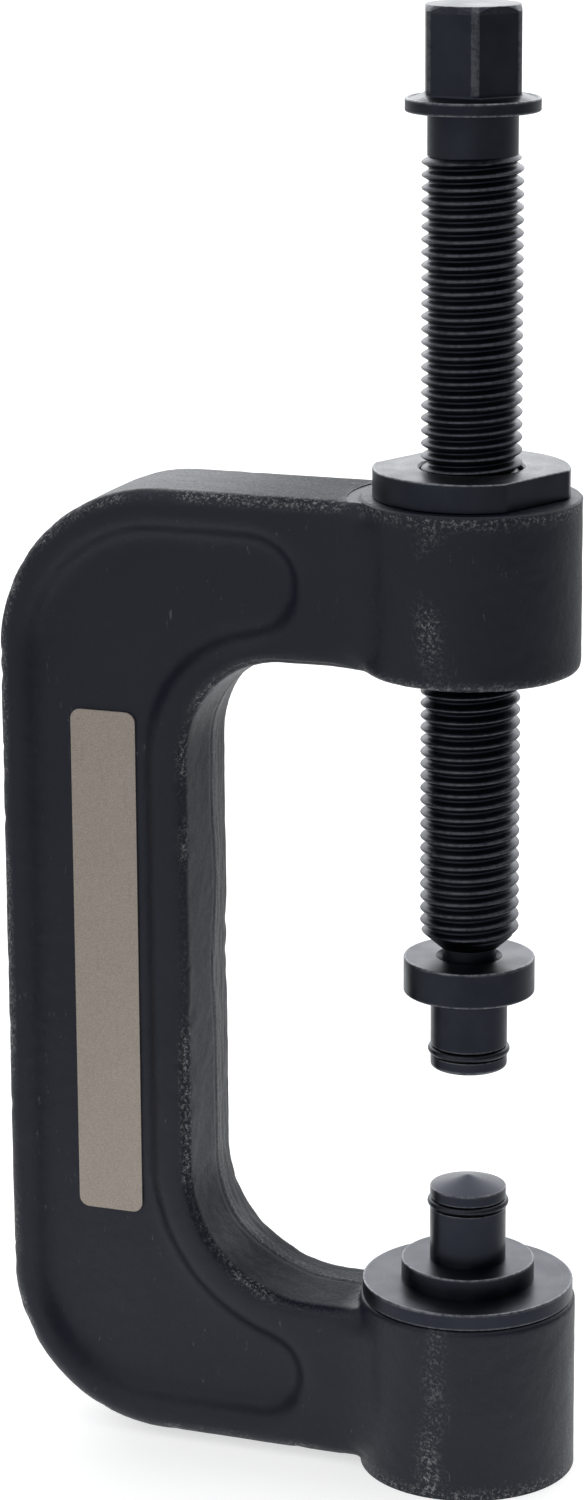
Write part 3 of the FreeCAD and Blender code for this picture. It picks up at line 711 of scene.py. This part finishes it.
def pale_floor():
    """Pale floor with a painted glow: a strip running back from the object where the floor's own material
    emits light.
    """
    s = Shader("floor_paint", metallic=0.0, specular=0.2)
    cloud = s.noise(0.004, 2.0)
    colour = s.mix(s.ramp(cloud, 0.3, 0.7), (0.58, 0.58, 0.58), (0.60, 0.60, 0.60))
    material = s.surface(colour, s.ramp(cloud, 0.3, 0.7, 0.7, 0.8), [(cloud, 0.01)])
    xyz = s.node("SeparateXYZ", {"Vector": s.coords}).outputs
    turn = math.radians(GLOW_HEADING)
    off = s.math("ADD", s.math("MULTIPLY", xyz[0], math.cos(turn)),
                 s.math("MULTIPLY", xyz[1], math.sin(turn)))
    along = s.math("SUBTRACT", s.math("MULTIPLY", xyz[1], math.cos(turn)),
                   s.math("MULTIPLY", xyz[0], math.sin(turn)))
    off = s.math("ABSOLUTE", s.math("ADD", off, GLOW_LEFT))
    spread = s.math("ADD", s.math("MULTIPLY", along, GLOW_SPREAD), GLOW_HALF)
    side = s.ramp(s.math("SUBTRACT", off, spread), 0.0, GLOW_FADE, 1.0, 0.0)
    glow = s.math("MULTIPLY", s.math("MULTIPLY", side, s.ramp(along, -0.35, -0.12)), FLOOR_GLOW)
    # Painted glow: the floor's material emits light along the strip, though the floor is no lamp.
    s.bsdf.inputs["Emission Color"].default_value = (1.0, 1.0, 1.0, 1.0)
    s.tree.links.new(glow, s.bsdf.inputs["Emission Strength"])
    corners = [(sx * FLOOR_HALF, sy * FLOOR_HALF, -FLOOR_DROP)
               for sx, sy in ((-1, -1), (1, -1), (1, 1), (-1, 1))]
    mesh = mesh_from("floor", corners, [(0, 1, 2, 3)])
    mesh.materials.append(material)
    floor = bpy.data.objects.new("floor", mesh)
    bpy.context.scene.collection.objects.link(floor)


def softbox(name, place, target, width, height, watts):
    """Rectangular area light aimed at a target."""
    light = bpy.data.lights.new(name, "AREA")
    light.shape = "RECTANGLE"
    light.size, light.size_y, light.energy = width, height, watts
    obj = bpy.data.objects.new(name, light)
    bpy.context.scene.collection.objects.link(obj)
    obj.location = place
    obj.rotation_euler = (Vector(target) - Vector(place)).to_track_quat("-Z", "Y").to_euler()


def studio_sky():
    """White room: bright overhead and behind the object, dim in front but for one low soft lobe."""
    world = bpy.data.worlds.new("studio")
    world.use_nodes = True
    tree = world.node_tree

    def node(kind, **settings):
        made = tree.nodes.new("ShaderNode" + kind)
        for key, value in settings.items():
            setattr(made, key, value)
        return made

    def smoothstep(value, low, high, out_low, out_high):
        step = node("MapRange", interpolation_type="SMOOTHSTEP")
        for key, number in (("From Min", low), ("From Max", high), ("To Min", out_low), ("To Max", out_high)):
            step.inputs[key].default_value = number
        tree.links.new(value, step.inputs["Value"])
        return step.outputs["Result"]

    coords = node("TexCoord").outputs["Generated"]
    away = node("VectorMath", operation="DOT_PRODUCT")
    away.inputs[1].default_value = WAY_BEHIND
    height = node("SeparateXYZ")
    tree.links.new(coords, away.inputs[0])
    tree.links.new(coords, height.inputs[0])
    behind = smoothstep(away.outputs["Value"], *SKY_BEHIND)
    rise = smoothstep(height.outputs[2], *SKY_RISE)
    level = node("Math", operation="MULTIPLY")
    tree.links.new(behind, level.inputs[0])
    tree.links.new(rise, level.inputs[1])
    above = smoothstep(height.outputs[2], *SKY_ABOVE)
    ahead = node("VectorMath", operation="DOT_PRODUCT")
    ahead.inputs[1].default_value = WAY_FRONT
    tree.links.new(coords, ahead.inputs[0])
    front = smoothstep(ahead.outputs["Value"], *SKY_FRONT)
    both = node("Math", operation="ADD")
    tree.links.new(above, both.inputs[0])
    tree.links.new(front, both.inputs[1])
    total = node("Math", operation="ADD")
    tree.links.new(level.outputs[0], total.inputs[0])
    tree.links.new(both.outputs[0], total.inputs[1])
    background = tree.nodes["Background"]
    tree.links.new(total.outputs[0], background.inputs["Strength"])
    background.inputs["Color"].default_value = (0.98, 0.99, 1.0, 1.0)
    bpy.context.scene.world = world


def camera():
    """Standing to the right of the object's front and looking down at it."""
    data = bpy.data.cameras.new("camera")
    data.sensor_fit = "VERTICAL"
    data.sensor_height = FRAME_HEIGHT
    data.lens = LENS
    data.clip_end = 50.0
    obj = bpy.data.objects.new("camera", data)
    bpy.context.scene.collection.objects.link(obj)
    heading, pitch, roll = (math.radians(a) for a in CAMERA_TURN)
    turn = (Matrix.Rotation(heading, 4, "Z") @ Matrix.Rotation(math.pi / 2 + pitch, 4, "X")
            @ Matrix.Rotation(roll, 4, "Z"))
    obj.matrix_world = Matrix.Translation(CAMERA_PLACE) @ turn
    bpy.context.scene.camera = obj


pale_floor()
studio_sky()
softbox("softbox_top", place=(0.1, 0.5, 1.8), target=(0.0, 0.0, 0.15), width=1.6, height=1.2, watts=6.0)
camera()
bpy.context.scene.view_settings.view_transform = "Standard"
bpy.context.scene.view_settings.look = "None"
